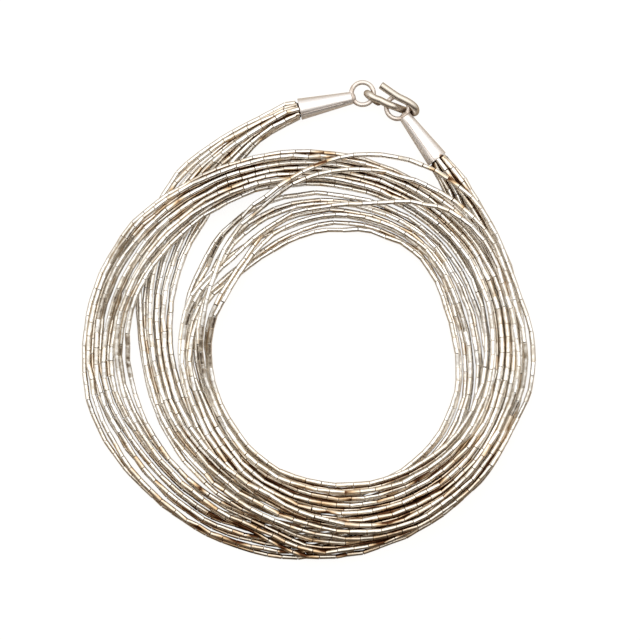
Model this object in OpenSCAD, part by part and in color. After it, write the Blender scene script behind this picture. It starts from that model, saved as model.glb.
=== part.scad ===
// A necklace of eleven strings of fine tube beads, lying coiled in almost three turns.
// Millimetres. The strings lie on z = 0, and the clasp is at the back, in +y.
// Both ends of all the strings go into a cone with a ring, and a hook joins the two rings.

/* [Strings] */
// Diameter of a string of beads
bead_d = 0.95; // [0.7:0.05:0.95]
// Least space between two strings that lie side by side or across each other
string_gap = 0.04; // [0.03:0.01:0.08]
// How far the upper and lower strings of a layer drift sideways, in string places
drift = 0.2; // [0:0.05:0.3]

/* [Cones] */
// Length of an end cone
cone_len = 9.7; // [8:0.1:10]
// Outer diameter of a cone's mouth
mouth_d = 3.9; // [3.7:0.1:4.1]
// Outer diameter of a cone's closed tip
tip_d = 2.2; // [2:0.1:2.4]
// Thickness of a cone's sheet metal
cone_wall = 0.2; // [0.15:0.05:0.3]
// Diameter of the bare thread that goes into a cone
thread_d = 0.4; // [0.3:0.05:0.5]

/* [Clasp] */
// Wire diameter of the ring on each cone
ring_wire = 0.85; // [0.7:0.05:0.85]
// Diameter of a ring, measured between the middles of its wire
ring_d = 4.0; // [4:0.05:4.2]
// Wire diameter of the hook
hook_wire = 1.35; // [1.2:0.05:1.35]

/* [Hidden] */
STRINGS = 11;
$fn = 48;

// The coil is followed clockwise from the right cone. Angles along it are counted from there,
// and they pass 360 twice. Polar angle 0 is +x.
MOUTH_RIGHT = [18.3, 33.35];
MOUTH_LEFT = [-6.35, 42.3];
AIM_RIGHT = 127;                 // direction from the right cone's mouth to its tip
AIM_LEFT = 12.3;                 // direction from the left cone's mouth to its tip
START = atan2(MOUTH_RIGHT[1], MOUTH_RIGHT[0]);
TOTAL = 720 + START + 360 - atan2(MOUTH_LEFT[1], MOUTH_LEFT[0]);

// The band that all the strings fill along the coil, edge to edge
ANGLE = 0;
INNER = 1;
OUTER = 2;
BAND = [
    [0, 36.0, 40.0], [15, 30.8, 37.2], [30, 28.7, 35.3], [60, 28.2, 34.2], [90, 29.2, 35.6],
    [120, 30.2, 36.6], [150, 31.6, 38.2], [180, 33.6, 41.2], [195, 34.7, 42.4], [210, 35.6, 44.9],
    [225, 36.4, 46.0], [240, 36.8, 45.7], [255, 36.2, 44.7], [270, 34.2, 43.2], [300, 31.0, 37.8],
    [330, 28.2, 34.8], [345, 27.4, 33.8], [360, 27.0, 33.2], [390, 26.8, 33.0], [420, 26.4, 33.0],
    [450, 26.6, 33.4], [480, 25.6, 33.4], [510, 24.6, 32.8], [540, 24.0, 30.6], [570, 22.6, 29.2],
    [600, 22.0, 28.4], [630, 20.8, 28.4], [660, 20.0, 29.2], [690, 20.2, 27.6], [705, 20.7, 26.9],
    [720, 21.3, 26.9], [735, 21.5, 26.8], [750, 20.9, 26.6], [765, 20.5, 26.8], [780, 20.9, 27.4],
    [810, 23.4, 30.0], [840, 25.0, 31.4], [870, 26.4, 33.0], [900, 27.6, 34.0], [930, 28.2, 34.6],
    [960, 28.8, 35.2], [990, 30.7, 39.4], [1005, 32.0, 42.1], [1020, 34.8, 43.2], [TOTAL, 40.8, 45.0]];

// Gaps that open between neighbouring strings: where, from which place outwards, and how wide
FROM = 0;
TO = 1;
PLACE = 2;
WIDE = 3;
GAPS = [
    [95, 133, 10, 0.8], [186, 222, 8, 0.6], [188, 242, 10, 1.7], [213, 243, 3, 0.6],
    [241, 266, 6, 0.9], [205, 262, 1, 0.9], [550, 590, 10, 0.8], [626, 676, 5, 1.2], [678, 716, 1, 0.9],
    [898, 938, 10, 0.9]];

// Strings that stray out over the others: which, where it leaves its place, where it is back in
// it, and between those the radius that it keeps at each of some angles
STRAY = 0;
LEAVES = 1;
BACK = 2;
PATH = 3;
STRAYS = [
    [1, 640, 905, [[662, 28.7], [677, 30.9], [691, 33.4], [706, 35.2], [720, 35.9], [734, 36.0],
                   [749, 34.7], [763, 33.9], [778, 35.2], [792, 36.0], [806, 35.0], [850, 35.4]]],
    [9, 612, 905, [[662, 27.6], [677, 29.8], [691, 31.2], [706, 32.2], [720, 32.8], [734, 33.5],
                   [749, 33.6], [763, 32.8], [778, 33.7], [792, 34.4], [806, 33.9], [850, 34.4]]],
    [5, 598, 905, [[691, 25.0], [706, 26.2], [720, 29.1], [734, 31.9], [749, 32.5], [763, 31.7],
                   [778, 32.4], [792, 33.2], [806, 32.8], [850, 33.4]]]];

// The bundle is three smaller bundles, which change places twice. Each time every string
// moves this many places outwards, and those that pass the edge go to the inner side.
SHIFT = 4;
CHANGES = [[128, 200], [565, 690]];

// The order in which the strings were laid down within one turn, lowest first
LAID = [0, 2, 1, 4, 6, 3, 5, 8, 10, 7, 9];

// Where each string goes into a cone, sideways from its axis and outwards, in string widths.
// A cone's mouth isn't quite along a radius of the coil, hence the slants.
IN_RIGHT = [-1.5, -1, -0.5, 0, 0.5, 1, 1.5, 0, 0.5, 1, 1.5];
IN_LEFT = [0.5, 0.5, 1.5, -1, -1.5, -1, -0.5, -0.5, 0, 0, 1];
SLANT_RIGHT = START + 90 - AIM_RIGHT;
SLANT_LEFT = START - TOTAL + 1080 - 90 - AIM_LEFT;
NEAR = 6;                        // this near to a mouth the strings are side by side
GATHER = 24;                     // the stretch before that, over which they draw together

lay = bead_d + string_gap;
abreast = lay * 1.04;            // the same in a cone's mouth
axis_z = mouth_d / 2;            // both cones lie level on the rims of their mouths

function ease(x) = let (t = min(max(x, 0), 1)) t * t * (3 - 2 * t);
function total(v, i = 0) = i < len(v) ? v[i] + total(v, i + 1) : 0;
function unit(v) = v / norm(v);

// One edge of the band, as a smooth curve through the table
function slope(i, c) =
    let (a = max(i - 1, 0), b = min(i + 1, len(BAND) - 1))
    (BAND[b][c] - BAND[a][c]) / (BAND[b][ANGLE] - BAND[a][ANGLE]);
function edge(a, c) =
    let (i = max([for (j = [0:len(BAND) - 2]) if (BAND[j][ANGLE] <= a) j]),
         h = BAND[i + 1][ANGLE] - BAND[i][ANGLE],
         t = (a - BAND[i][ANGLE]) / h)
    (2 * t ^ 3 - 3 * t ^ 2 + 1) * BAND[i][c] + (3 * t ^ 2 - 2 * t ^ 3) * BAND[i + 1][c]
    + h * ((t ^ 3 - 2 * t ^ 2 + t) * slope(i, c) + (t ^ 3 - t ^ 2) * slope(i + 1, c));

// Where string k comes in the order across the band, from 0 at the inner edge to STRINGS - 1
function order(k, a) =
    let (shifted = [for (n = [0:2]) (k + n * SHIFT) % STRINGS],
         moved = [for (w = CHANGES) ease((a - w[FROM]) / (w[TO] - w[FROM]))])
    shifted[0] + (shifted[1] - shifted[0]) * moved[0] + (shifted[2] - shifted[1]) * moved[1];

// The place of string k across the band. Strings that change places still fill the whole band.
function place(k, a) =
    let (step = (edge(a, OUTER) - edge(a, INNER) - bead_d) / (STRINGS - 1),
         slack = max(0, 2 * step - lay) / 2 / step,
         orders = [for (q = [0:STRINGS - 1]) order(q, a)],
         least = min(orders),
         spread = (STRINGS - 1) / (max(orders) - least),
         free = ease((a - 25) / 40) * ease((TOTAL - 25 - a) / 40),
         common = (k % 2 == 0 ? -drift : drift) * sin(1.9 * a + 40),
         own = min(0.45, slack) * 0.5 * sin(a * (3.1 + 0.23 * k) + 137 * k))
    min(max((order(k, a) - least) * spread + free * (common + own), 0), STRINGS - 1);

function opened(g, a) =
    a <= g[FROM] || a >= g[TO] ? 0 : g[WIDE] * sin(180 * (a - g[FROM]) / (g[TO] - g[FROM])) ^ 2;

function strayed(s, a, r) =
    a <= s[LEAVES] || a >= s[BACK] ? r :
    let (path = s[PATH],
         first = path[0][0],
         last = path[len(path) - 1][0],
         w = a < first ? ease((a - s[LEAVES]) / (first - s[LEAVES])) :
             a <= last ? 1 : ease((s[BACK] - a) / (s[BACK] - last)))
    r + (lookup(a, path) - r) * w;

// The distance of string k from the middle of the coil
function reach(k, a) =
    let (low = edge(a, INNER) + bead_d / 2,
         high = edge(a, OUTER) - bead_d / 2,
         p = place(k, a),
         open = [for (g = GAPS) opened(g, a)],
         past = [for (n = [0:len(GAPS) - 1]) open[n] * min(max(p - GAPS[n][PLACE] + 1, 0), 1)],
         laid = low + (high - low - total(open)) * p / (STRINGS - 1) + total(past),
         stray = [for (s = STRAYS) if (s[STRAY] == k) s],
         r = len(stray) > 0 ? strayed(stray[0], a, laid) : laid,
         near_right = 1 - ease(a / GATHER),
         near_left = 1 - ease((TOTAL - NEAR - a) / GATHER),
         mid = (low + high) / 2)
    r + (mid + IN_RIGHT[k] * abreast / cos(SLANT_RIGHT) - r) * near_right
      + (mid + IN_LEFT[k] * abreast / cos(SLANT_LEFT) - r) * near_left;

// Which stretch lies over which. The last turn passes under the other two.
LEVELS = [0, 0.9, 1, 1.5, 2, 3];
function level(k, a) =
    let (stray = [for (s = STRAYS) if (s[STRAY] == k && a >= s[LEAVES]) s])
    len(stray) > 0 ? (a < 945 ? 3 : 0.9) : a < 360 ? 1 : a < 720 ? 2 : a < 945 ? 1.5 : 0;

// The strings are laid down one by one, level by level, and measured at these angles. Each lies
// on z = 0 or on the strings below it. Two are as near as they come between one of these angles
// and the next on each side.
PER_TURN = 25;
STEP = 360 / PER_TURN;
LAST = floor(TOTAL / STEP);
REACH = [for (k = [0:STRINGS - 1]) [for (i = [0:LAST]) reach(k, i * STEP)]];

// How much nearer two strings are than they measure along a radius, where they run slantwise
function lean(k, i) =
    let (a = max(i - 1, 0), b = min(i + 1, LAST))
    cos(atan((REACH[k][b] - REACH[k][a]) / (REACH[k][i] * (b - a) * STEP * PI / 180)));

function apart(k, i, q, j) =
    let (c = REACH[k][i] - REACH[q][j],
         beside = [for (o = [-1, 1]) if (min(i, j) + o >= 0 && max(i, j) + o <= LAST)
                   REACH[k][i + o] - REACH[q][j + o]],
         crossing = [for (b = beside) if (b * c <= 0) b])
    len(crossing) > 0 ? 0 :
    min(concat([abs(c)], [for (b = beside) abs(b)])) * min(lean(k, i), lean(q, j));

SLOPE = 1.03;                    // room for strings that also run up or down
FALL = 0.3;                      // the steepest that a string comes down from those below it
function rest_z(k, i, z) =
    let (need = lay * SLOPE,
         over = [for (q = [0:STRINGS - 1], j = [i % PER_TURN:PER_TURN:LAST])
                 if (z[q][j] != undef)
                 let (d = apart(k, i, q, j))
                 if (d < need) z[q][j] + sqrt(need * need - d * d)])
    max(concat([bead_d / 2], over));
function lay_down(runs, z, n = 0) =
    n == len(runs) ? z :
    let (k = runs[n][0],
         run = runs[n][1],
         rest = [for (i = run) rest_z(k, i, z)],
         step = FALL * STEP * PI / 180,
         eased = [for (i = run)
                  max([for (m = [0:len(run) - 1]) rest[m] - step * REACH[k][i] * abs(i - run[m])])],
         laid = [for (i = [0:LAST]) let (m = search(i, run)) len(m) > 0 ? eased[m[0]] : z[k][i]])
    lay_down(runs, [for (q = [0:STRINGS - 1]) q == k ? laid : z[q]], n + 1);

RUNS = [for (l = LEVELS, k = LAID)
    let (run = [for (i = [0:LAST]) if (level(k, i * STEP) == l) i])
    if (len(run) > 0) [k, run]];
HEIGHT = lay_down(RUNS, [for (k = [0:STRINGS - 1]) [for (i = [0:LAST]) undef]]);

function polar(r, a) = [r * cos(START - a), r * sin(START - a)];

// A string's points at one cone, with the radius there. The last bead stops short of the mouth,
// and the bare thread goes on into it, drawn in towards the cone's axis.
ALONG = 0;
DRAWN = 1;
THICK = 2;
ENTRY = [[2.2, 0.48, thread_d], [-0.05, 0.64, thread_d], [-0.65, 1, thread_d], [-0.75, 1, bead_d]];
function entry(mouth, aim, side, z) =
    [for (e = ENTRY)
        let (at = mouth + e[ALONG] * [cos(aim), sin(aim)] + e[DRAWN] * side * abreast * [sin(aim), -cos(aim)])
        [[at[0], at[1], axis_z + e[DRAWN] * (z - axis_z)], e[THICK] / 2]];
function backwards(v) = [for (i = [len(v) - 1:-1:0]) v[i]];

// Chords of a round path lie inside it, so the path's points are set out by half of that
OUTSET = (1 + 1 / cos(STEP / 2)) / 2;
function route(k) =
    let (first = entry(MOUTH_RIGHT, AIM_RIGHT, IN_RIGHT[k], HEIGHT[k][0]),
         last = entry(MOUTH_LEFT, AIM_LEFT, -IN_LEFT[k], HEIGHT[k][LAST]))
    concat(first,
           [for (i = [1:LAST])
               let (p = polar(REACH[k][i] * OUTSET, i * STEP)) [[p[0], p[1], HEIGHT[k][i]], bead_d / 2]],
           backwards(last));

// The middle of the whole necklace, seen from the middle of its coil. It goes to x = 0, y = 0.
MIDDLE = [-4.78, 4.37];
module centred() {
    translate([-MIDDLE[0], -MIDDLE[1], 0]) children();
}

// A round bar of changing thickness along points, each with its radius
function turned(rows, i) =
    let (a = rows[max(i - 1, 0)][0], b = rows[min(i + 1, len(rows) - 1)][0]) unit(b - a);
module bar(rows, sides) {
    rings = [for (i = [0:len(rows) - 1])
        let (t = turned(rows, i), across = unit(cross([0, 0, 1], t)), up = cross(t, across))
        for (s = [0:sides - 1])
            rows[i][0] + rows[i][1] * (across * cos(360 * s / sides) + up * sin(360 * s / sides))];
    last = (len(rows) - 1) * sides;
    walls = [for (i = [0:len(rows) - 2], s = [0:sides - 1])
        let (a = i * sides + s, b = i * sides + (s + 1) % sides)
        each [[a, b + sides, b], [a, a + sides, b + sides]]];
    polyhedron(rings, concat([[for (s = [0:sides - 1]) s]], walls,
                             [[for (s = [sides - 1:-1:0]) last + s]]));
}

module strand(k) {
    color([0.80, 0.77, 0.72]) centred() bar(route(k), 8);
}

// An end cone with its ring. It lies along +x from the middle of its mouth.
RING_SEAT = 1.95;                // from the tip to the middle of the ring
TIP_THICK = 1.2;
TIP_ROUND = 0.25;
module end_cone(ring_turn) {
    color([0.84, 0.82, 0.80]) {
        rotate([0, 90, 0]) rotate_extrude() polygon([
            [mouth_d / 2, 0], [tip_d / 2, cone_len - TIP_ROUND], [tip_d / 2 - TIP_ROUND, cone_len],
            [0, cone_len], [0, cone_len - TIP_THICK], [tip_d / 2 - cone_wall, cone_len - TIP_THICK],
            [mouth_d / 2 - cone_wall, 0]]);
        translate([cone_len, 0, 0]) rotate([0, 0, ring_turn]) translate([RING_SEAT, 0, 0])
            rotate_extrude() translate([ring_d / 2, 0]) circle(d = ring_wire);
    }
}

RING_TURN_LEFT = 10.3;
RING_TURN_RIGHT = 3;
module cone_left() {
    centred() translate([MOUTH_LEFT[0], MOUTH_LEFT[1], axis_z]) rotate([0, 0, AIM_LEFT])
        end_cone(RING_TURN_LEFT);
}
module cone_right() {
    centred() translate([MOUTH_RIGHT[0], MOUTH_RIGHT[1], axis_z]) rotate([0, 0, AIM_RIGHT])
        end_cone(RING_TURN_RIGHT);
}

// The hook starts round the left ring's wire. Along it, u runs away from that ring, v to the
// left of u, and z up.
function ring_middle(mouth, aim, turn) =
    mouth + cone_len * [cos(aim), sin(aim)] + RING_SEAT * [cos(aim + turn), sin(aim + turn)];
HOOK_AIM = -18.8;
HOOK_AT = ring_middle(MOUTH_LEFT, AIM_LEFT, RING_TURN_LEFT) + ring_d / 2 * [cos(-22), sin(-22)];
EYE_R = 1.26;
EYE_TURN = -18.5;
EYE_END = 352;
HOOK_POINTS = [
    [1.5, -0.1, 3.14], [2.9, -0.3, 3.12], [3.9, -0.32, 3], [4.5, -0.3, 2.5], [5, -0.28, 1.8],
    [5.5, -0.25, 1.15], [6.2, -0.22, 0.75], [7, -0.2, 0.72], [7.7, -0.15, 1.05], [8.05, 0.1, 1.9],
    [7.8, 0.6, 2.75], [7.05, 1, 3.2], [6, 1.25, 3.4], [5, 1.38, 3.5], [4, 1.52, 3.62],
    [2.3, 1.98, 3.85], [0.65, 2.45, 4.05]];
function in_hook(p) =
    let (u = [cos(HOOK_AIM), sin(HOOK_AIM)], v = [-sin(HOOK_AIM), cos(HOOK_AIM)],
         at = HOOK_AT + u * p[0] + v * p[1])
    [at[0], at[1], p[2]];
function smooth(points) =
    [for (i = [0:len(points) - 2])
        let (a = points[max(i - 1, 0)], b = points[i], c = points[i + 1],
             d = points[min(i + 2, len(points) - 1)])
        each [b, (9 * (b + c) - a - d) / 16],
     points[len(points) - 1]];
module hook() {
    eye = [for (a = [EYE_END:-22:88])
        let (out = EYE_R * cos(a) * [cos(EYE_TURN), sin(EYE_TURN)])
        [out[0], out[1], axis_z + EYE_R * sin(a)]];
    line = concat(eye, smooth(HOOK_POINTS));
    color([0.78, 0.74, 0.69]) centred() bar([for (p = line) [in_hook(p), hook_wire / 2]], 10);
}

cone_left();
cone_right();
hook();
for (k = [0:STRINGS - 1])
    strand(k);
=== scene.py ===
"""A necklace of eleven strings of silver tube beads, coiled flat, with two end cones and a hook.

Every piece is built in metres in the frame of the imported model. The strings and the hook follow
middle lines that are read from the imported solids, and the cones stand on the solids' own mouths.
"""

import logging
import math
from dataclasses import dataclass, field
from enum import Enum
from functools import cached_property
from typing import Callable, ClassVar, Sequence

import bmesh
import bpy
import numpy as np
from mathutils import Matrix, Vector
from mathutils.kdtree import KDTree


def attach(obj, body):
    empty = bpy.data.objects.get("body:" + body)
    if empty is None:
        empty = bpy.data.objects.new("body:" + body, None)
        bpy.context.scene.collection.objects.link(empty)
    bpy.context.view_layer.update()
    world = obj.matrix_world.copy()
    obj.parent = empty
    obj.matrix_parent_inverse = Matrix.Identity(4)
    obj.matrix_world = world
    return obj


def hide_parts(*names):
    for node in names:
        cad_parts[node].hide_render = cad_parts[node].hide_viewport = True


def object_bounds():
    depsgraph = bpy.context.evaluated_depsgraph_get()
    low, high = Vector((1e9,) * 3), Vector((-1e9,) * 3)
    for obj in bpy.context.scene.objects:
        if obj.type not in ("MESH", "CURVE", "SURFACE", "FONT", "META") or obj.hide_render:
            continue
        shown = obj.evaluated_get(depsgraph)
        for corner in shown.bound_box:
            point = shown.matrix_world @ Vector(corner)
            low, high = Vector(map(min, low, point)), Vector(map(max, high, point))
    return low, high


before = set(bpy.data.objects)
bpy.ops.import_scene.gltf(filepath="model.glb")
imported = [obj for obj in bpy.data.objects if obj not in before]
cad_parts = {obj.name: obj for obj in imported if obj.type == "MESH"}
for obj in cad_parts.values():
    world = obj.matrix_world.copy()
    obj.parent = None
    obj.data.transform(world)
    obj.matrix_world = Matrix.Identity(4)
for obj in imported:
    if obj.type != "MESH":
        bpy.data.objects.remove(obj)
CAD_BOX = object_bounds()

log = logging.getLogger("necklace")
MM = 0.001
UP = Vector((0, 0, 1))

# A corner this near a plane or a rim counts as on it.
ON_PLANE = 0.01 * MM
# Corners of a new mesh that are nearer than this are one corner.
WELD = 0.002 * MM
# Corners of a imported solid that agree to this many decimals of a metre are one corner.
SAME_CORNER = 7
# Faces that turn by less than this from one to the next look round.
ROUND_ANGLE = math.radians(35)
# The painted shade in front and at the back sets in at the start and is full at the edge.
FRONT_START, FRONT_EDGE = -18 * MM, -38 * MM
BACK_START, BACK_EDGE = 12 * MM, 28 * MM
# How far outside the metal other metal makes a recess.
RECESS = 0.35 * MM
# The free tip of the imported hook.
HOOK_TIP = Vector((10.85, 43.56, 4.35)) * MM
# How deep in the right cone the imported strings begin.
THREAD_END = 4 * MM
# How many strings there are, and the number that their seeds count up from.
STRINGS = 11
SEED = 40

Pair = tuple[float, float]
Triple = tuple[float, float, float]
Colour = Triple
Piece = bpy.types.Object
Socket = bpy.types.NodeSocket
Number = float | Socket


class Slot(Enum):
    """The record's material slots."""

    BEADS = "beads"
    CONES = "cones"
    HOOK = "hook"


class Pick(Enum):
    """What a selection in edit mode is made of."""

    CORNERS = "VERT"
    EDGES = "EDGE"
    FACES = "FACE"


# ---- hand tools ----


def leave_all() -> None:
    """Deselects every object."""
    bpy.ops.object.select_all(action="DESELECT")


def take(*pieces: Piece) -> None:
    """Selects some objects alone and makes the first one active."""
    leave_all()
    for piece in pieces:
        piece.select_set(True)
    bpy.context.view_layer.objects.active = pieces[0]


def start_piece(name: str) -> Piece:
    """Names the object that was just made, and its mesh, and returns the object."""
    piece = bpy.context.object
    piece.name = piece.data.name = name
    return piece


def pick(piece: Piece, kind: Pick, wanted: Callable[[Vector], bool]) -> None:
    """Selects parts of the piece that is in edit mode, by their place.

    Args:
        piece: the object in edit mode.
        kind: corners, edges or faces.
        wanted: says of a place whether the part there is wanted. A face is asked for at its
            middle, and an edge is wanted where both its ends are.
    """
    bpy.ops.mesh.select_mode(type=kind.value)
    bpy.ops.mesh.select_all(action="DESELECT")
    mesh = bmesh.from_edit_mesh(piece.data)
    if kind is Pick.FACES:
        chosen = [f for f in mesh.faces if wanted(f.calc_center_median())]
    elif kind is Pick.EDGES:
        chosen = [e for e in mesh.edges if all(wanted(v.co) for v in e.verts)]
    else:
        chosen = [v for v in mesh.verts if wanted(v.co)]
    for part in chosen:
        part.select_set(True)
    mesh.select_flush_mode()
    bmesh.update_edit_mesh(piece.data)


def join(name: str, pieces: Sequence[Piece]) -> Piece:
    """Joins several objects into the first one, and names and returns the joined piece."""
    take(*pieces)
    bpy.ops.object.join()
    return start_piece(name)


def set_down(piece: Piece) -> None:
    """Puts an object's place, turn and scale into its mesh."""
    take(piece)
    bpy.ops.object.transform_apply(location=True, rotation=True, scale=True)


def give_value(piece: Piece, name: str, values: Sequence[float]) -> None:
    """Stores one number for each corner of a mesh, for its material to read."""
    layer = piece.data.attributes.get(name) or piece.data.attributes.new(name, "FLOAT", "POINT")
    layer.data.foreach_set("value", np.asarray(values, np.float32))


def corners_of(piece: Piece) -> np.ndarray:
    """Returns the places of a mesh's corners, one in each row."""
    places = np.empty(len(piece.data.vertices) * 3, np.float32)
    piece.data.vertices.foreach_get("co", places)
    return places.reshape(-1, 3)


def corner_of_loops(piece: Piece) -> np.ndarray:
    """Returns which corner of the mesh each corner of a face is, face by face."""
    loops = np.empty(len(piece.data.loops), np.int32)
    piece.data.loops.foreach_get("vertex_index", loops)
    return loops


def tree_of(points: np.ndarray) -> KDTree:
    """Sorts points, one in each row, so that the nearest one to a place is found fast."""
    tree = KDTree(len(points))
    for n, point in enumerate(points):
        tree.insert(point, n)
    tree.balance()
    return tree


def ease(x: np.ndarray | float, low: float, high: float) -> np.ndarray:
    """Rises smoothly from 0 at low to 1 at high."""
    t = np.clip((np.asarray(x, float) - low) / (high - low), 0, 1)
    return t * t * (3 - 2 * t)


# ---- middle lines ----


@dataclass
class Course:
    """The middle line of a string or a wire, as a fine row of points.

    Args:
        points: the row of points.
        knots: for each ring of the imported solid, which point is its middle.
    """

    points: np.ndarray
    knots: np.ndarray
    along: np.ndarray = field(init=False)

    def __post_init__(self) -> None:
        """Measures the line."""
        steps = np.linalg.norm(np.diff(self.points, axis=0), axis=1)
        self.along = np.concatenate([[0], np.cumsum(steps)])

    def at(self, distance: float) -> Vector:
        """Returns the point at a distance along the line."""
        return Vector([np.interp(distance, self.along, self.points[:, c]) for c in range(3)])

    def mark(self, ring: int) -> float:
        """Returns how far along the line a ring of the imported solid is."""
        return float(self.along[self.knots[ring]])


def read_rings(node: str, start: Vector, sides: int) -> np.ndarray:
    """Reads the middle line of a packed bar, ring by ring.

    Args:
        node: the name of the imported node, a bar of many rings.
        start: a place that its first ring is nearest to.
        sides: how many corners each ring has.

    Returns:
        The middle of each ring, in order along the bar.
    """
    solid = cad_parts[node]
    rounded = np.round(corners_of(solid).astype(float), SAME_CORNER)
    places, names = np.unique(rounded, axis=0, return_inverse=True)
    faces = names.ravel()[corner_of_loops(solid)].reshape(-1, 3)
    ring_of = np.full(len(places), -1)
    ring_of[np.argsort(np.linalg.norm(places - np.array(start), axis=1))[:sides]] = 0
    ring = 0
    while True:
        touched = faces[(ring_of[faces] == ring).any(axis=1)].ravel()
        fresh = np.unique(touched[ring_of[touched] < 0])
        if len(fresh) == 0:
            break
        ring += 1
        ring_of[fresh] = ring
    return np.array([places[ring_of == n].mean(axis=0) for n in range(ring + 1)])


def smooth_course(rings: np.ndarray, spacing: float) -> Course:
    """Runs a smooth line through the middles of rings.

    Args:
        rings: the middles of the rings.
        spacing: how far apart the line's points are, about.

    Returns:
        The line. Between two rings it never goes above the higher or below the lower one.
    """
    gaps = np.linalg.norm(np.diff(rings, axis=0), axis=1)
    chords = np.diff(rings, axis=0) / gaps[:, None]
    before, after = gaps[:-1, None], gaps[1:, None]
    slopes = (chords[:-1] * after + chords[1:] * before) / (before + after)
    fall, rise = chords[:-1, 2], chords[1:, 2]
    same = fall * rise > 0
    slopes[:, 2] = np.where(same, 2 * fall * rise / np.where(same, fall + rise, 1), 0)
    slopes = np.vstack([chords[:1], slopes, chords[-1:]])
    points, knots = [], []
    for a, b, u, v, gap in zip(rings, rings[1:], slopes, slopes[1:], gaps):
        knots.append(len(points))
        count = max(1, round(gap / spacing))
        for t in np.arange(count) / count:
            points.append(
                (2 * t**3 - 3 * t**2 + 1) * a
                + (3 * t**2 - 2 * t**3) * b
                + gap * ((t**3 - 2 * t**2 + t) * u + (t**3 - t**2) * v)
            )
    knots.append(len(points))
    points.append(rings[-1])
    return Course(np.array(points), np.array(knots))


class Nearness:
    """Tells how closely other metal stands round a place, for tarnish and painted shade in
    recesses.
    """

    # The room at which a corner counts as touched and as open, in shares of how far it looks.
    TOUCHED: ClassVar[float] = -0.15
    OPEN: ClassVar[float] = 0.9

    def __init__(self) -> None:
        """Starts with nothing round."""
        self.lines: list[tuple[np.ndarray, float]] = []
        self.trees: list[tuple[KDTree, float]] = []

    def add(self, points: np.ndarray, radius: float) -> None:
        """Adds a round bar by the points of its middle line and its radius."""
        self.lines.append((points, radius))

    def settle(self) -> None:
        """Sorts the bars by thickness, ready to be asked."""
        for radius in sorted({r for _, r in self.lines}):
            points = np.vstack([p for p, r in self.lines if r == radius])
            self.trees.append((tree_of(points), radius))

    def crowding(self, piece: Piece) -> np.ndarray:
        """Measures how crowded each corner of a piece is, for its tarnish and painted shade.

        Args:
            piece: an object that stands in its place.

        Returns:
            For each corner, 0 where the surface is open and 1 where something touches it.
        """
        places = corners_of(piece)
        normals = np.empty(places.size, np.float32)
        piece.data.vertex_normals.foreach_get("vector", normals)
        probes = places + normals.reshape(-1, 3) * RECESS
        room = np.full(len(probes), 1.0)
        for tree, radius in self.trees:
            found = np.array([tree.find(p)[2] for p in probes])
            room = np.minimum(room, found - radius)
        return 1 - ease(room, self.TOUCHED * RECESS, self.OPEN * RECESS)


# ---- finishes ----


class Graph:
    """The nodes of one material, or of the room, wired by name."""

    def __init__(self, owner: bpy.types.Material | bpy.types.World) -> None:
        """Starts the owner's nodes from nothing."""
        self.owner = owner
        owner.use_nodes = True
        owner.node_tree.nodes.clear()

    def node(
        self, kind: str, inputs: dict[str | int, object] | None = None, **settings: object
    ) -> bpy.types.Node:
        """Adds a node.

        Args:
            kind: the node's type, without the words that all shader nodes start with.
            inputs: a number, colour or other node's output for each input, by name or index.
            **settings: the node's own properties.

        Returns:
            The node.
        """
        tree = self.owner.node_tree
        made = tree.nodes.new("ShaderNode" + kind)
        for name, value in settings.items():
            setattr(made, name, value)
        for name, value in (inputs or {}).items():
            socket = made.inputs[name]
            if isinstance(value, Socket):
                tree.links.new(value, socket)
            else:
                socket.default_value = value
        return made

    def sum(self, operation: str, *values: Number) -> Socket:
        """Works out a sum of two values, kept between 0 and 1."""
        inputs = dict(enumerate(values))
        return self.node("Math", inputs, operation=operation, use_clamp=True).outputs[0]

    def scaled(
        self, value: Number, low: float, high: float, start: float = 0.0, end: float = 1.0
    ) -> Socket:
        """Spreads a value that runs from start to end over the range from low to high."""
        ends = {"From Min": start, "From Max": end, "To Min": low, "To Max": high}
        return self.node("MapRange", {"Value": value} | ends).outputs[0]

    def value_of(self, name: str) -> Socket:
        """Reads a number that the mesh holds for each corner."""
        return self.node("Attribute", attribute_name=name).outputs["Fac"]

    def noise(self, inputs: dict[str, Number], dimensions: str = "3D") -> Socket:
        """Makes a cloudy pattern that runs from 0 to 1."""
        return self.node("TexNoise", inputs, noise_dimensions=dimensions).outputs[0]

    def relief(self, height: Socket, depth: float, **more: Number) -> Socket:
        """Turns a pattern into a relief of a depth, with more of the node's inputs by name."""
        return self.node("Bump", {"Height": height, "Distance": depth} | more).outputs[0]

    def ramp(self, factor: Socket, stops: Sequence[tuple[float, Colour]]) -> Socket:
        """Turns a value into a colour.

        Args:
            factor: the value, from 0 to 1.
            stops: places between 0 and 1 and their colours.

        Returns:
            The colour.
        """
        made = self.node("ValToRGB", {"Fac": factor})
        row = made.color_ramp.elements
        while len(row) < len(stops):
            row.new(1.0)
        for place, (at, colour) in zip(row, stops):
            place.position = at
            place.color = (*colour, 1.0)
        return made.outputs["Color"]

    def finish(self, shader: dict[str, object]) -> bpy.types.Material:
        """Ends a material in one shader with these inputs, and returns the material."""
        last = self.node("BsdfPrincipled", shader)
        self.node("OutputMaterial", {"Surface": last.outputs[0]})
        return self.owner


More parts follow.
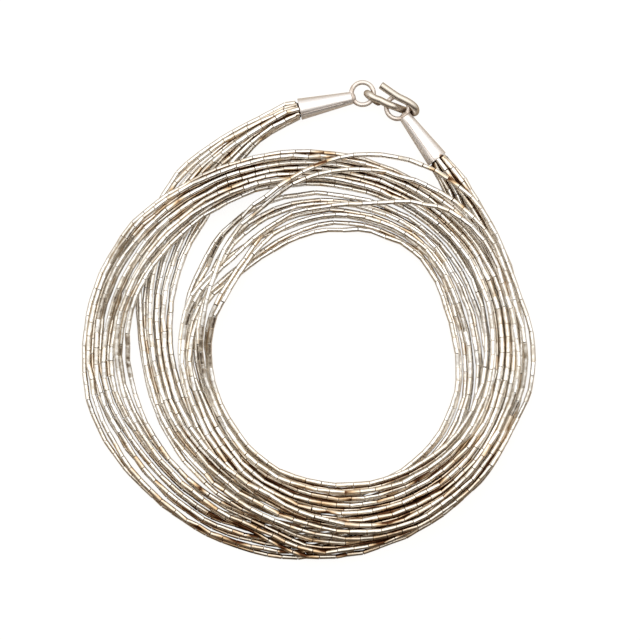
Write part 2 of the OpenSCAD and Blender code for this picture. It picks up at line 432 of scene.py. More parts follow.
@dataclass(frozen=True)
class SilverFinish:
    """Silver, polished where rubbed and toned brown where not, with painted shade in recesses,
    front and back.

    Args:
        name: the material's name.
        polished: the colour of open, rubbed metal.
        warm: the colour of metal with the first toning and painted shade.
        toned: the colour of tarnish and painted shade in the recesses.
        darkest_tarnish_and_shade: the colour of tarnish and painted shade at the bottom of the
            recesses.
        gloss: the roughness of polished metal.
        satin: how much rougher toned metal is.
        blotch: how strongly the toning comes and goes.
        blotch_size: the size of its patches, in metres.
        draw: the depth of the fine lines left by drawing and filing, in metres.
        dent: the depth of the small dents, in metres.
        edge: what is left of the colour where the metal is seen nearly edge on.
        uneven: how much one bead is toned more than the next.
        front: how much painted shade darkens the side away from the clasp, most of all in its
            recesses.
        back: how much painted shade darkens the recesses on the clasp's side.
        tarnish_and_shade_strength: how strongly tarnish and painted shade darken the recesses.
        matt: how much of the metal is blasted matt.
    """

    name: str
    polished: Colour
    warm: Colour
    toned: Colour
    darkest_tarnish_and_shade: Colour
    gloss: float
    satin: float
    blotch: float
    blotch_size: float
    draw: float
    dent: float
    edge: Colour
    uneven: float = 0.0
    front: float = 0.0
    back: float = 0.0
    tarnish_and_shade_strength: float = 1.0
    matt: float = 0.0

    # How far on the way to black the middle two colours stand.
    WARM_AT: ClassVar[float] = 0.4
    TONED_AT: ClassVar[float] = 0.75
    # How many times finer than the patches the grain and the dents are.
    GRAIN: ClassVar[float] = 9.0
    DENTS: ClassVar[float] = 0.9
    # How much smoother and how much rougher the grain makes the metal.
    RUFFLE: ClassVar[Pair] = (-0.05, 0.07)
    # How many drawn lines a piece has along its length and round it.
    LINES: ClassVar[Triple] = (1.5, 40.0, 1.0)
    # How far the beads' own numbers spread them over the pattern of dents.
    SPREAD: ClassVar[float] = 40.0
    # The shares of the painted front shade that open metal and the deepest recess get.
    FRONT_SHARES: ClassVar[Pair] = (0.3, 1.7)

    def dress(self) -> bpy.types.Material:
        """Makes and returns the material."""
        graph = Graph(bpy.data.materials.new(self.name))
        place = graph.node("TexCoord").outputs["Object"]
        own = graph.value_of("own_tone")
        # The tone holds the tarnish and the painted shade, which darken the colour and roughen the
        # metal.
        tone = self._tone_and_shade(graph, place, own)
        middle = [(self.WARM_AT, self.warm), (self.TONED_AT, self.toned)]
        grain_size = self.GRAIN / self.blotch_size
        grain = graph.noise({"Vector": place, "Scale": grain_size, "Detail": 2.0})
        rough = graph.sum(
            "ADD",
            graph.scaled(tone, self.gloss, self.gloss + self.satin),
            graph.scaled(grain, *self.RUFFLE),
        )
        shader = {
            "Base Color": graph.ramp(tone, [(0.0, self.polished), *middle, (1.0, self.darkest_tarnish_and_shade)]),
            "Metallic": 1.0 - self.matt,
            "Roughness": rough,
            "Normal": self._relief(graph, place, own),
            "Specular Tint": (*self.edge, 1.0),
        }
        return graph.finish(shader)

    def _tone_and_shade(self, graph: Graph, place: Socket, own: Socket) -> Socket:
        """Works out the metal's toning and painted shade.

        Args:
            graph: the material's nodes.
            place: the place on the piece.
            own: the number from 0 to 1 that each bead has of its own.

        Returns:
            The toning and painted shade, from 0 for polished metal to 1 for black.
        """
        clouds = {"Vector": place, "Scale": 1 / self.blotch_size, "Detail": 3.0, "Roughness": 0.6}
        patches = graph.scaled(graph.noise(clouds), -self.blotch, self.blotch)
        # Tarnish and painted shade: darker where other metal stands close round the surface.
        crowding = graph.value_of("crowding")
        tone = graph.sum("ADD", graph.scaled(crowding, 0.0, self.tarnish_and_shade_strength), patches)
        if self.uneven:
            tone = graph.sum("ADD", tone, graph.scaled(own, -self.uneven / 2, self.uneven))
        # Painted shade: darker towards the front, away from the clasp, and in the recesses at the
        # back.
        if self.front:
            along = graph.node("SeparateXYZ", {"Vector": place}).outputs["Y"]
            front = graph.scaled(along, self.front, 0.0, FRONT_EDGE, FRONT_START)
            back = graph.scaled(along, 0.0, self.back, BACK_START, BACK_EDGE)
            share = graph.scaled(crowding, *self.FRONT_SHARES)
            tone = graph.sum("ADD", tone, graph.sum("MULTIPLY", front, share))
            tone = graph.sum("ADD", tone, graph.sum("MULTIPLY", back, crowding))
        return tone

    def _relief(self, graph: Graph, place: Socket, own: Socket) -> Socket:
        """Makes the fine lines along the piece and the small dents.

        Args:
            graph: the material's nodes.
            place: the place on the piece.
            own: the number from 0 to 1 that each bead has of its own.

        Returns:
            The normal.
        """
        unrolled = graph.node("UVMap", uv_map="lengthwise").outputs[0]
        drawn = graph.node("Mapping", {"Vector": unrolled, "Scale": self.LINES}).outputs[0]
        lines = graph.noise({"Vector": drawn, "Scale": 1.0, "Detail": 3.0})
        scored = graph.relief(lines, self.draw, Strength=1.0)
        apart = {"Vector": place, "W": graph.scaled(own, 0.0, self.SPREAD)}
        dents = graph.noise(apart | {"Scale": self.DENTS / self.blotch_size, "Detail": 1.5}, "4D")
        return graph.relief(dents, self.dent, Strength=1.0, Normal=scored)


@dataclass(frozen=True)
class ThreadFinish:
    """Dark waxed thread, twisted of several strands.

    Args:
        name: the material's name.
        light: the colour of the raised fibres.
        dark: the colour between them.
        fibres: how many fibres go in a metre.
        twist: the depth of the twist, in metres.
    """

    name: str
    light: Colour
    dark: Colour
    fibres: float = 4500.0
    twist: float = 0.03 * MM

    def dress(self) -> bpy.types.Material:
        """Makes and returns the material."""
        graph = Graph(bpy.data.materials.new(self.name))
        place = graph.node("TexCoord").outputs["Object"]
        fibres = graph.noise({"Vector": place, "Scale": self.fibres, "Detail": 2.0})
        shader = {
            "Base Color": graph.ramp(fibres, [(0.35, self.dark), (0.7, self.light)]),
            "Roughness": graph.scaled(fibres, 0.55, 0.85),
            "Normal": graph.relief(fibres, self.twist, Strength=0.8),
        }
        return graph.finish(shader)


# The darkest two colours of each silver stand for tarnish and painted shade in the recesses.
BEAD_SILVER = SilverFinish(
    name="bead_silver",
    polished=(0.96, 0.945, 0.92),
    warm=(0.90, 0.83, 0.72),
    toned=(0.72, 0.51, 0.30),
    darkest_tarnish_and_shade=(0.11, 0.042, 0.018),
    gloss=0.22,
    satin=0.2,
    blotch=0.22,
    blotch_size=1.6 * MM,
    draw=0.004 * MM,
    dent=0.22 * MM,
    edge=(0.78, 0.71, 0.62),
    uneven=0.28,
    front=1.05,
    back=1.1,
    tarnish_and_shade_strength=0.45,
)
CONE_SILVER = SilverFinish(
    name="cone_silver",
    polished=(0.96, 0.92, 0.905),
    warm=(0.86, 0.79, 0.73),
    toned=(0.45, 0.30, 0.20),
    darkest_tarnish_and_shade=(0.12, 0.07, 0.045),
    gloss=0.4,
    satin=0.15,
    blotch=0.16,
    blotch_size=3.5 * MM,
    draw=0.006 * MM,
    dent=0.05 * MM,
    edge=(0.60, 0.56, 0.54),
    matt=0.15,
)
HOOK_SILVER = SilverFinish(
    name="hook_silver",
    polished=(0.76, 0.70, 0.62),
    warm=(0.60, 0.50, 0.40),
    toned=(0.36, 0.26, 0.18),
    darkest_tarnish_and_shade=(0.12, 0.08, 0.05),
    gloss=0.38,
    satin=0.2,
    blotch=0.25,
    blotch_size=2.5 * MM,
    draw=0.006 * MM,
    dent=0.04 * MM,
    edge=(0.50, 0.46, 0.43),
)
THREAD = ThreadFinish(name="waxed_thread", light=(0.16, 0.10, 0.06), dark=(0.05, 0.03, 0.02))


# ---- pieces ----


def lay_lengthwise(
    piece: Piece, unroll: Callable[[np.ndarray], tuple[np.ndarray, np.ndarray]]
) -> None:
    """Gives a piece the map that its fine lines run along.

    Args:
        piece: the object to map.
        unroll: turns the corners' places into a distance along the piece and a turn round it,
            each from 0 to 1.
    """
    layers = piece.data.uv_layers
    layer = layers.get("lengthwise") or layers.new(name="lengthwise")
    flat = np.column_stack(unroll(corners_of(piece)))[corner_of_loops(piece)]
    layer.uv.foreach_set("vector", flat.astype(np.float32).ravel())


def wire_along(
    name: str, points: np.ndarray, diameter: float, resolution: int, finish: bpy.types.Material
) -> Piece:
    """Draws a closed round bar along points.

    Args:
        name: the piece's name.
        points: the middle line.
        diameter: the bar's diameter.
        resolution: how finely the bar is rounded.
        finish: its material.

    Returns:
        The bar, as a mesh.
    """
    curve = bpy.data.curves.new(name, "CURVE")
    curve.dimensions = "3D"
    curve.twist_mode = "Z_UP"
    curve.bevel_depth = diameter / 2
    curve.bevel_resolution = resolution
    curve.use_fill_caps = True
    spline = curve.splines.new("POLY")
    spline.points.add(len(points) - 1)
    row = np.column_stack([points, np.ones(len(points))]).astype(np.float32)
    spline.points.foreach_set("co", row.ravel())
    bar = bpy.data.objects.new(name, curve)
    bpy.context.collection.objects.link(bar)
    take(bar)
    bpy.ops.object.convert(target="MESH")
    bar = bpy.context.object
    bar.data.materials.clear()
    bar.data.materials.append(finish)
    return bar


@dataclass
class TubeBead:
    """One bead: a short length of silver tube with its rims filed round.

    It is modelled once, upright on the origin, and every string takes copies of it.
    """

    diameter: float = 0.95 * MM
    bore: float = 0.56 * MM
    length: float = 2.62 * MM
    rim: float = 0.05 * MM
    sides: int = 12
    smooth_angle: float = math.radians(32)

    def build(self, finish: bpy.types.Material) -> Piece:
        """Models the bead that is copied.

        Args:
            finish: its material.

        Returns:
            The bead.
        """
        leave_all()
        radius = self.diameter / 2
        bpy.ops.mesh.primitive_cylinder_add(
            vertices=self.sides, radius=radius, depth=self.length, end_fill_type="NGON"
        )
        bead = start_piece("bead")
        bpy.ops.object.mode_set(mode="EDIT")
        pick(bead, Pick.FACES, self._on_end)
        bpy.ops.mesh.inset(thickness=radius - self.bore / 2, use_boundary=True)
        bpy.ops.mesh.bridge_edge_loops()
        pick(bead, Pick.EDGES, lambda p: self._on_end(p) and p.xy.length > radius - ON_PLANE)
        bpy.ops.mesh.bevel(offset=self.rim, segments=1, affect="EDGES")
        bpy.ops.object.mode_set(mode="OBJECT")
        bpy.ops.object.shade_smooth_by_angle(angle=self.smooth_angle)
        lay_lengthwise(bead, self._unrolled)
        bead.data.materials.append(finish)
        give_value(bead, "own_tone", np.zeros(len(bead.data.vertices)))
        return bead

    def _on_end(self, place: Vector) -> bool:
        """Tells whether a place is on one of the two ends."""
        return abs(place.z) > self.length / 2 - ON_PLANE

    def _unrolled(self, places: np.ndarray) -> tuple[np.ndarray, np.ndarray]:
        """Unrolls the tube flat."""
        turn = np.arctan2(places[:, 1], places[:, 0]) / (2 * math.pi) + 0.5
        return places[:, 2] / self.length + 0.5, turn


@dataclass
class BeadString:
    """One string: about two hundred beads threaded along the middle line of its solid."""

    node: str
    name: str
    bead: TubeBead
    seed: int
    sides: int = 8
    # The solid's first ring that is as thick as the beads, and how far they go in past it.
    first_full: int = 3
    reach_in: float = 0.6 * MM
    # The gap between two beads, and how far it strays off the middle line.
    joint: float = 0.045 * MM
    wander: float = 0.075 * MM
    # The shares of the pattern's length, thickness and height that a bead has.
    shortest: float = 0.82
    longest: float = 1.18
    thinnest: float = 0.93
    flattest: float = 0.87
    thread: float = 0.36 * MM
    spacing: float = 0.4 * MM
    course: Course = field(init=False)

    # How far a bend of the solid goes back towards the middle of its two neighbours.
    PULL: ClassVar[float] = 1 / 8
    # The thread takes every third point of the middle line.
    THREAD_STEP: ClassVar[int] = 3
    THREAD_RESOLUTION: ClassVar[int] = 1

    def measure(self, start: Vector) -> Course:
        """Reads the string's middle line from its solid.

        Args:
            start: a place inside the cone that the string starts in.

        Returns:
            The line. The solid's bends are pulled in by as much as they were set out.
        """
        rings = read_rings(self.node, start, self.sides)
        bends = slice(self.first_full + 1, len(rings) - self.first_full - 1)
        middles = (rings[:-2] + rings[2:]) / 2
        pulled = rings.copy()
        pulled[1:-1, :2] += (middles - rings[1:-1])[:, :2] * self.PULL
        rings[bends] = pulled[bends]
        self.course = smooth_course(rings, self.spacing)
        return self.course

    def build(self, pattern: Piece, thread_finish: bpy.types.Material) -> Piece:
        """Threads the beads.

        Args:
            pattern: the bead to copy.
            thread_finish: the thread's material.

        Returns:
            The beads and their thread, as one piece.
        """
        chance = np.random.default_rng(self.seed)
        first = self.course.mark(self.first_full) - self.reach_in
        last = self.course.mark(len(self.course.knots) - 1 - self.first_full) + self.reach_in
        count = round((last - first) / self.bead.length)
        lengths = chance.uniform(self.shortest, self.longest, count)
        ends = first + np.concatenate([[0], np.cumsum(lengths)]) * (last - first) / lengths.sum()
        joints = [self._off_line(self.course.at(d), chance) for d in ends]
        beads = [self._threaded(pattern, a, b, chance) for a, b in zip(joints, joints[1:])]
        whole = join(self.name, [*beads, self._thread(thread_finish)])
        bpy.ops.object.shade_smooth_by_angle(angle=self.bead.smooth_angle)
        length = self.course.along[-1] / MM
        log.info("%s: %d beads on %.0f mm of thread", self.name, count, length)
        return whole

    def _threaded(
        self, pattern: Piece, a: Vector, b: Vector, chance: np.random.Generator
    ) -> Piece:
        """Copies the pattern bead onto the thread.

        Args:
            pattern: the bead to copy.
            a: the joint before it.
            b: the joint after it.
            chance: where its thickness, flatness, roll and toning are drawn from, in this order.

        Returns:
            The copy.
        """
        heading = (b - a).normalized()
        side = heading.cross(UP).normalized()
        turned = Matrix((side, heading.cross(side), heading)).transposed().to_4x4()
        thick = chance.uniform(self.thinnest, 1.0)
        flat = chance.uniform(self.flattest, 1.0)
        length = (b - a).length - self.joint
        size = Matrix.Diagonal((thick, thick * flat, length / self.bead.length, 1))
        roll = Matrix.Rotation(chance.uniform(0, 2 * math.pi), 4, "Z")
        copy = pattern.copy()
        copy.data = pattern.data.copy()
        copy.data.transform(Matrix.Translation((a + b) / 2) @ turned @ roll @ size)
        give_value(copy, "own_tone", np.full(len(copy.data.vertices), chance.uniform(0, 1)))
        bpy.context.collection.objects.link(copy)
        return copy

    def _off_line(self, place: Vector, chance: np.random.Generator) -> Vector:
        """Moves a joint a little off the line, but not out of the necklace's own room.

        Args:
            place: the joint's place on the line.
            chance: where the move is drawn from.

        Returns:
            The joint's new place.
        """
        moved = place + Vector(chance.normal(0, self.wander, 3))
        margin = self.bead.diameter / 2
        return Vector([min(max(m, a + margin), b - margin) for m, a, b in zip(moved, *CAD_BOX)])

    def _thread(self, finish: bpy.types.Material) -> Piece:
        """Returns the thread, made from inside one cone to inside the other."""
        line = self.course.points
        points = np.vstack([line[: -1 : self.THREAD_STEP], line[-1:]])
        name = self.name + "_thread"
        return wire_along(name, points, self.thread, self.THREAD_RESOLUTION, finish)


@dataclass
class EndCone:
    """A rolled cone of sheet silver with a plain wire ring soldered on its tip."""

    node: str
    name: str
    # The direction from the mouth to the tip, and how much further round the ring sits.
    aim: float
    ring_turn: float
    length: float = 9.7 * MM
    mouth: float = 3.9 * MM
    tip: float = 2.2 * MM
    wall: float = 0.2 * MM
    tip_round: float = 0.3 * MM
    mouth_round: float = 0.04 * MM
    sides: int = 72
    # The ring is measured between the middles of its wire, and it sits this far past the tip.
    ring: float = 4.0 * MM
    wire: float = 0.84 * MM
    wire_sides: int = 20
    seat: float = 1.95 * MM
    ring_steps: int = 60
    # The line where the sheet meets: its turn from the top, half its width, and its depth.
    seam_turn: float = math.radians(28)
    seam_width: float = 0.06 * MM
    seam_depth: float = 0.05 * MM
    drop: float = 1.0 * MM

    # Where rings of edges go round the cone, as shares of its length.
    BANDS: ClassVar[tuple[float, ...]] = (0.06, 0.3, 0.55, 0.8)
    # The seam stops this many times the rounding of the tip before the tip.
    SEAM_STOP: ClassVar[float] = 1.2
    # The drop of solder: its middle past the tip, its shape, and the squeeze on its far part.
    DROP_PAST: ClassVar[float] = 0.1 * MM
    DROP_SHAPE: ClassVar[Triple] = (0.5, 1.0, 0.62)
    SQUEEZE_PAST: ClassVar[float] = 0.15 * MM
    SQUEEZE: ClassVar[float] = 0.8
    # How far under the outside the seam's toning begins and is full.
    SUNK: ClassVar[Pair] = (0.02 * MM, 0.06 * MM)
    # The toning of the solder, its middle past the tip, and how far from there it fades.
    SOLDER_TONE: ClassVar[float] = 0.55
    SOLDER_PAST: ClassVar[float] = 0.25 * MM
    SOLDER_FADE: ClassVar[Pair] = (0.1 * MM, 0.7 * MM)
    RING_TONE: ClassVar[float] = 0.4

    @property
    def heading(self) -> Vector:
        """The direction from the mouth to the tip."""
        return Vector((math.cos(self.aim), math.sin(self.aim), 0))

    @cached_property
    def mouth_middle(self) -> Vector:
        """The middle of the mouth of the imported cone."""
        places = corners_of(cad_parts[self.node]).astype(float)
        along = places @ np.array(self.heading)
        rim = places[along < along.min() + ON_PLANE]
        return Vector((rim.min(axis=0) + rim.max(axis=0)) / 2)

    @property
    def ring_middle(self) -> Vector:
        """The middle of the ring."""
        turned = self.aim + self.ring_turn
        tip = self.mouth_middle + self.heading * self.length
        return tip + Vector((math.cos(turned), math.sin(turned), 0)) * self.seat

    def ring_line(self) -> np.ndarray:
        """Returns points along the middle line of the ring's wire."""
        turns = np.linspace(0, 2 * math.pi, self.ring_steps, endpoint=False)
        circle = np.column_stack([np.cos(turns), np.sin(turns), np.zeros(len(turns))])
        return np.array(self.ring_middle) + circle * self.ring / 2

    def build(self, finish: bpy.types.Material) -> Piece:
        """Builds the cone with its ring.

        Args:
            finish: its material.

        Returns:
            The cone, the ring and the solder, as one piece.
        """
        whole = join(self.name, [self._shell(), self._ring(), self._solder()])
        whole.data.materials.clear()
        whole.data.materials.append(finish)
        take(whole)
        bpy.ops.object.shade_smooth_by_angle(angle=ROUND_ANGLE)
        lay_lengthwise(whole, self._unrolled)
        log.info("%s: %d faces", self.name, len(whole.data.polygons))
        return whole

    def recesses(self, places: np.ndarray) -> np.ndarray:
        """Tells how toned each corner is by its place: in the seam, at the solder, on the ring.

        Args:
            places: the corners' places.

        Returns:
            The toning of each corner, from 0 to 1.
        """
        along, off, _ = np.array([self._from_mouth(Vector(p)) for p in places]).T
        on_cone = (along < self.length - self.tip_round) & (along > 0)
        sunk = np.where(on_cone, ease(self._radius_at(along) - off, *self.SUNK), 0)
        past = along - self.length
        solder = 1 - ease(np.abs(past - self.SOLDER_PAST), *self.SOLDER_FADE)
        ring = np.where(past > 0, self.RING_TONE, 0)
        return np.maximum(np.maximum(sunk, ring), self.SOLDER_TONE * solder)

    def _from_mouth(self, place: Vector) -> tuple[float, float, float]:
        """Gives a place by the cone's own measures.

        Args:
            place: the place.

        Returns:
            Its distance along the axis from the mouth, its distance from the axis, and its turn
            round the axis from the top.
        """
        off = place - self.mouth_middle
        along = off.dot(self.heading)
        side = self.heading.cross(UP)
        return along, math.hypot(off.dot(side), off.z), math.atan2(off.dot(side), off.z)

    def _radius_at(self, along: np.ndarray | float) -> np.ndarray | float:
        """Returns the outside radius at a distance from the mouth."""
        return self.mouth / 2 + (self.tip - self.mouth) / 2 * along / self.length

    def _unrolled(self, places: np.ndarray) -> tuple[np.ndarray, np.ndarray]:
        """Unrolls the cone flat."""
        along, _, turn = np.array([self._from_mouth(Vector(p)) for p in places]).T
        return along / self.length, turn / (2 * math.pi) + 0.5

    def _shell(self) -> Piece:
        """Models the rolled shell: open at the mouth, closed and rounded at the tip.

        Returns:
            The shell.
        """
        leave_all()
        bpy.ops.mesh.primitive_cone_add(
            vertices=self.sides,
            radius1=self.mouth / 2,
            radius2=self.tip / 2,
            depth=self.length,
            end_fill_type="NGON",
            location=self.mouth_middle + self.heading * self.length / 2,
            rotation=(0, math.pi / 2, self.aim),
        )
        shell = start_piece(self.name)
        set_down(shell)
        bpy.ops.object.mode_set(mode="EDIT")
        for share in self.BANDS:
            bpy.ops.mesh.select_all(action="SELECT")
            place = self.mouth_middle + self.heading * self.length * share
            bpy.ops.mesh.bisect(plane_co=place, plane_no=self.heading)
        pick(shell, Pick.FACES, self._on_mouth)
        bpy.ops.mesh.delete(type="FACE")
        pick(shell, Pick.EDGES, lambda p: self._from_mouth(p)[0] > self.length - ON_PLANE)
        bpy.ops.mesh.bevel(offset=self.tip_round, segments=4, affect="EDGES")
        bpy.ops.object.mode_set(mode="OBJECT")
        wall = shell.modifiers.new("wall", "SOLIDIFY")
        wall.thickness = self.wall
        wall.offset = -1
        bpy.ops.object.modifier_apply(modifier=wall.name)
        bpy.ops.object.mode_set(mode="EDIT")
        pick(shell, Pick.EDGES, self._on_mouth)
        bpy.ops.mesh.bevel(offset=self.mouth_round, segments=2, affect="EDGES")
        self._cut_seam(shell)
        bpy.ops.object.mode_set(mode="OBJECT")
        return shell

    def _on_mouth(self, place: Vector) -> bool:
        """Tells whether a place is in the plane of the mouth."""
        return self._from_mouth(place)[0] < ON_PLANE

    def _cut_seam(self, shell: Piece) -> None:
        """Sinks the line where the rolled sheet meets, along one side of the shell.

        Args:
            shell: the shell, in edit mode.
        """
        turn = 2 * math.pi / self.sides
        seam = round(self.seam_turn / turn) * turn
        near = turn / 10
        stop = self.length - self.tip_round * self.SEAM_STOP

        def on_seam(place: Vector) -> bool:
            """Tells whether a corner of the outside lies on the seam."""
            along, off, at = self._from_mouth(place)
            outside = off > self._radius_at(along) - self.wall / 2
            return abs(at - seam) < near and outside and along < stop

        pick(shell, Pick.EDGES, on_seam)
        bpy.ops.mesh.bevel(offset=self.seam_width, segments=2, affect="EDGES")
        pick(shell, Pick.CORNERS, on_seam)
        bpy.ops.transform.shrink_fatten(value=-self.seam_depth)

    def _ring(self) -> Piece:
        """Spins the ring from the round section of its wire.

        Returns:
            The ring.
        """
        middle = self.ring_middle
        leave_all()
        bpy.ops.mesh.primitive_circle_add(
            vertices=self.wire_sides,
            radius=self.wire / 2,
            location=middle + Vector((self.ring / 2, 0, 0)),
            rotation=(math.pi / 2, 0, 0),
        )
        ring = start_piece(self.name + "_ring")
        set_down(ring)
        bpy.ops.object.mode_set(mode="EDIT")
        bpy.ops.mesh.select_all(action="SELECT")
        bpy.ops.mesh.spin(
            steps=self.ring_steps, angle=2 * math.pi, center=middle, axis=(0, 0, 1)
        )
        bpy.ops.mesh.select_all(action="SELECT")
        bpy.ops.mesh.remove_doubles(threshold=WELD)
        bpy.ops.mesh.normals_make_consistent(inside=False)
        bpy.ops.object.mode_set(mode="OBJECT")
        return ring

    def _solder(self) -> Piece:
        """Models the drop of solder that ran between the tip and the ring.

        Returns:
            The drop.
        """
        middle = self.mouth_middle + self.heading * (self.length + self.DROP_PAST)
        leave_all()
        bpy.ops.mesh.primitive_ico_sphere_add(
            subdivisions=4, radius=self.drop, location=middle, rotation=(0, 0, self.aim)
        )
        drop = start_piece(self.name + "_solder")
        drop.scale = self.DROP_SHAPE
        set_down(drop)
        bpy.ops.object.mode_set(mode="EDIT")
        pick(drop, Pick.CORNERS, lambda p: (p - middle).dot(self.heading) > self.SQUEEZE_PAST)
        bpy.ops.transform.resize(value=(1, 1, self.SQUEEZE), center_override=middle)
        bpy.ops.object.mode_set(mode="OBJECT")
        return drop


@dataclass
class ClaspHook:
    """The S-shaped hook of thick wire: a closed eye at one end and an open hook at the other."""

    node: str
    name: str
    start: Vector
    sides: int = 10
    wire: float = 1.345 * MM
    resolution: int = 4
    spacing: float = 0.15 * MM
    blunt: float = 0.16 * MM
    course: Course = field(init=False)

    def measure(self) -> Course:
        """Reads the hook's middle line from its solid, from the free tip on."""
        rings = read_rings(self.node, self.start, self.sides)
        self.course = smooth_course(rings, self.spacing)
        return self.course

    def build(self, finish: bpy.types.Material) -> Piece:
        """Bends the wire and files its ends.

        Args:
            finish: its material.

        Returns:
            The hook.
        """
        line = self.course.points
        hook = wire_along(self.name, line, self.wire, self.resolution, finish)
        bpy.ops.object.mode_set(mode="EDIT")
        self._file_end(hook, Vector(line[0]), Vector(line[1]))
        self._file_end(hook, Vector(line[-1]), Vector(line[-2]))
        bpy.ops.object.mode_set(mode="OBJECT")
        bpy.ops.object.shade_smooth_by_angle(angle=ROUND_ANGLE)
        lay_lengthwise(hook, self._unrolled)
        log.info("%s: %.1f mm of wire", self.name, self.course.along[-1] / MM)
        return hook

    def _file_end(self, hook: Piece, tip: Vector, inner: Vector) -> None:
        """Files one end of the wire round.

        Args:
            hook: the hook, in edit mode.
            tip: the middle of the wire's flat end.
            inner: the next point of the middle line.
        """
        out = (tip - inner).normalized()

        def on_cap(place: Vector) -> bool:
            """Tells whether a place is on the wire's flat end."""
            return abs((place - tip).dot(out)) < ON_PLANE and (place - tip).length < self.wire

        pick(hook, Pick.FACES, on_cap)
        bpy.ops.mesh.dissolve_faces()
        pick(hook, Pick.EDGES, on_cap)
        bpy.ops.mesh.bevel(offset=self.blunt, segments=3, affect="EDGES")

    def _unrolled(self, places: np.ndarray) -> tuple[np.ndarray, np.ndarray]:
        """Unrolls the wire, with each corner at its nearest point of the middle line.

        Args:
            places: the corners' places.

        Returns:
            How far along the wire each corner is, and its turn round it, from 0 to 1.
        """
        tree = tree_of(self.course.points)
        near = np.array([tree.find(p)[1] for p in places])
        off = places - self.course.points[near]
        turn = np.arctan2(off[:, 2], off[:, 0]) / (2 * math.pi) + 0.5
        return self.course.along[near] / self.course.along[-1], turn


# ---- studio ----


@dataclass
class Softbox:
    """A rectangular lamp with a white front."""

    name: str
    place: Vector
    target: Vector
    size: Pair
    radiance: float

    def hang(self) -> None:
        """Hangs the lamp, turned to its target."""
        lamp = bpy.data.lights.new(self.name, "AREA")
        lamp.shape = "RECTANGLE"
        lamp.size, lamp.size_y = self.size
        lamp.energy = self.radiance * math.pi * self.size[0] * self.size[1]
        rig = bpy.data.objects.new(self.name, lamp)
        rig.location = self.place
        rig.rotation_euler = (self.target - self.place).to_track_quat("-Z", "Y").to_euler()
        bpy.context.collection.objects.link(rig)


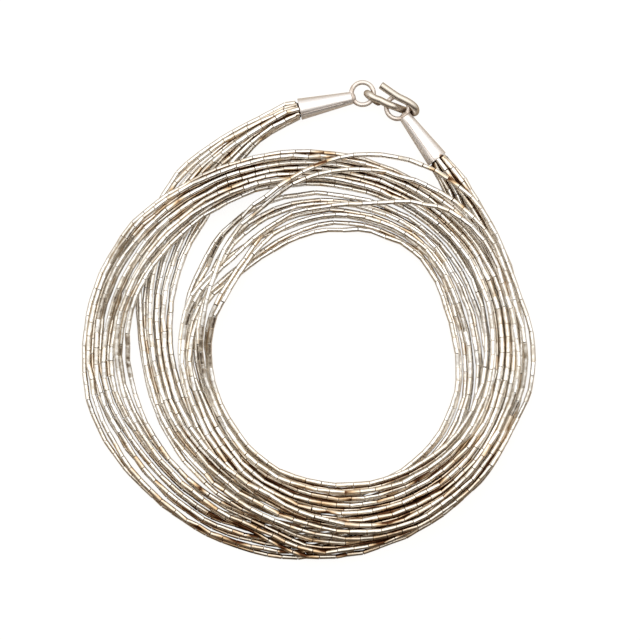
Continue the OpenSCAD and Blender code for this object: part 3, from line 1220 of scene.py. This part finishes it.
@dataclass
class Studio:
    """The white table, the lamps, the room and the camera straight above."""

    # The camera's focal length and sensor in millimetres, the place under it, and its height.
    lens: float = 180.0
    sensor: float = 36.0
    over: Pair = (2.08 * MM, 0.13 * MM)
    height: float = 576 * MM
    table_size: float = 4.0
    # The table in reflections only: its colour, its painted shade, dark in front of the coil
    # and light behind that, and how much further forward this change lies than the beads' painted
    # shade.
    cream: Colour = (1.0, 0.85, 0.66)
    painted_table_shade: Pair = (0.06, 0.5)
    painted_shade_reach: float = 1.6
    # The table as the camera sees it: its lightness and its white glow.
    white: float = 0.16
    glow: float = 0.92
    # How fine its grain is, and how much lighter and darker.
    tooth: float = 900.0
    tooth_tint: float = 0.01
    # The room's light, from the darkest side to the brightest one, and the way to that side.
    bright_side: Triple = (0.0, 0.94, 0.34)
    room: tuple[tuple[float, Colour], ...] = (
        (0.0, (0.012, 0.008, 0.005)),
        (0.3, (0.04, 0.022, 0.012)),
        (0.36, (0.14, 0.095, 0.055)),
        (0.43, (0.44, 0.36, 0.27)),
        (0.5, (0.80, 0.78, 0.74)),
        (0.6, (0.88, 0.865, 0.84)),
        (1.0, (0.92, 0.91, 0.89)),
    )
    boxes: tuple[Softbox, ...] = (
        Softbox("softbox_back", Vector((0, 0.27, 0.36)), Vector((0, 0, 0)), (0.7, 0.24), 0.92),
        Softbox("softbox_above", Vector((0, 0.07, 0.42)), Vector((0, 0.07, 0)), (0.9, 0.2), 0.9),
    )

    def build(self) -> None:
        """Sets everything up round the necklace."""
        bpy.context.scene.view_settings.view_transform = "Standard"
        self._camera()
        self._table()
        self._room()
        for box in self.boxes:
            box.hang()

    def _camera(self) -> None:
        """Hangs the camera over the coil, looking straight down with the clasp at the top."""
        lens = bpy.data.cameras.new("camera")
        lens.lens = self.lens
        lens.sensor_width = self.sensor
        lens.clip_start, lens.clip_end = 0.01, 20.0
        camera = bpy.data.objects.new("camera", lens)
        camera.location = (*self.over, self.height)
        bpy.context.collection.objects.link(camera)
        bpy.context.scene.camera = camera

    def _table(self) -> None:
        """Lays the matt table top: white to the camera, and cream with painted shade, darker in
        front, in reflections.
        """
        leave_all()
        bpy.ops.mesh.primitive_plane_add(size=self.table_size)
        table = start_piece("table_top")
        graph = Graph(bpy.data.materials.new("white_card"))
        place = graph.node("TexCoord").outputs["Object"]
        tooth = graph.noise({"Vector": place, "Scale": self.tooth, "Detail": 2.0})
        seen = graph.node("LightPath").outputs["Is Camera Ray"]
        away = graph.node("SeparateXYZ", {"Vector": place}).outputs["Y"]
        # Painted shade: the table that the metal reflects darkens in front of the coil.
        reach = FRONT_EDGE * self.painted_shade_reach, FRONT_START * self.painted_shade_reach
        unseen = graph.sum("SUBTRACT", 1.0, seen)
        painted_shade_in_reflections = graph.sum("MULTIPLY", graph.scaled(away, *self.painted_table_shade, *reach), unseen)
        light = graph.sum("ADD", painted_shade_in_reflections, graph.scaled(seen, 0.0, self.white))
        light = graph.sum("ADD", light, graph.scaled(tooth, -self.tooth_tint, self.tooth_tint))
        shader = {
            "Base Color": graph.ramp(light, [(0.0, (0.0, 0.0, 0.0)), (1.0, self.cream)]),
            "Roughness": 0.9,
            "Emission Color": (1.0, 1.0, 1.0, 1.0),
            "Emission Strength": graph.sum("MULTIPLY", seen, self.glow),
        }
        table.data.materials.append(graph.finish(shader))

    def _room(self) -> None:
        """Lights the room: bright overhead and behind the clasp, darker in front."""
        graph = Graph(bpy.data.worlds.new("room"))
        bpy.context.scene.world = graph.owner
        way = graph.node("TexCoord").outputs["Generated"]
        towards = graph.node("VectorMath", {0: way, 1: self.bright_side}, operation="DOT_PRODUCT")
        share = graph.scaled(towards.outputs["Value"], 0.0, 1.0, -1.0, 1.0)
        ground = graph.node("Background", {"Color": graph.ramp(share, self.room)})
        graph.node("OutputWorld", {"Surface": ground.outputs[0]})


# ---- main ----


def put_on(piece: Piece, node: str) -> None:
    """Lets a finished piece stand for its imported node.

    Args:
        piece: the piece.
        node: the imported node.
    """
    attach(piece, "root")
    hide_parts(node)


def main() -> None:
    """Builds the necklace and its studio."""
    logging.basicConfig(level=logging.INFO, format="%(message)s")
    Studio().build()
    left = EndCone(
        "cone_left", "left_cone", aim=math.radians(12.3), ring_turn=math.radians(10.3)
    )
    right = EndCone(
        "cone_right",
        "right_cone",
        aim=math.radians(127),
        ring_turn=math.radians(3),
        seam_turn=math.radians(-20),
    )
    hook = ClaspHook("hook", "clasp_hook", HOOK_TIP)
    bead = TubeBead()
    strings = [
        BeadString(f"strand_{n:02d}", f"beads_{n:02d}", bead, seed=SEED + n)
        for n in range(1, STRINGS + 1)
    ]

    near = Nearness()
    deep = right.mouth_middle + right.heading * THREAD_END
    for string in strings:
        near.add(string.measure(deep).points, bead.diameter / 2)
    for cone in (left, right):
        near.add(cone.ring_line(), cone.wire / 2)
    near.add(hook.measure().points, hook.wire / 2)
    near.settle()

    bead_finish, thread_finish = BEAD_SILVER.dress(), THREAD.dress()
    pattern = bead.build(bead_finish)
    for string in strings:
        piece = string.build(pattern, thread_finish)
        # The beads take tarnish and painted shade where other metal stands close.
        give_value(piece, "crowding", near.crowding(piece))
        put_on(piece, string.node)
    bpy.data.objects.remove(pattern)
    cone_finish = CONE_SILVER.dress()
    for cone in (left, right):
        piece = cone.build(cone_finish)
        # The cones take tarnish and painted shade where other metal stands close, and tarnish in
        # the seam, at the solder and on the ring.
        toned = np.maximum(near.crowding(piece), cone.recesses(corners_of(piece)))
        give_value(piece, "crowding", toned)
        put_on(piece, cone.node)
    piece = hook.build(HOOK_SILVER.dress())
    # The hook takes tarnish and painted shade where other metal stands close.
    give_value(piece, "crowding", near.crowding(piece))
    put_on(piece, hook.node)


if __name__ == "__main__":
    main()
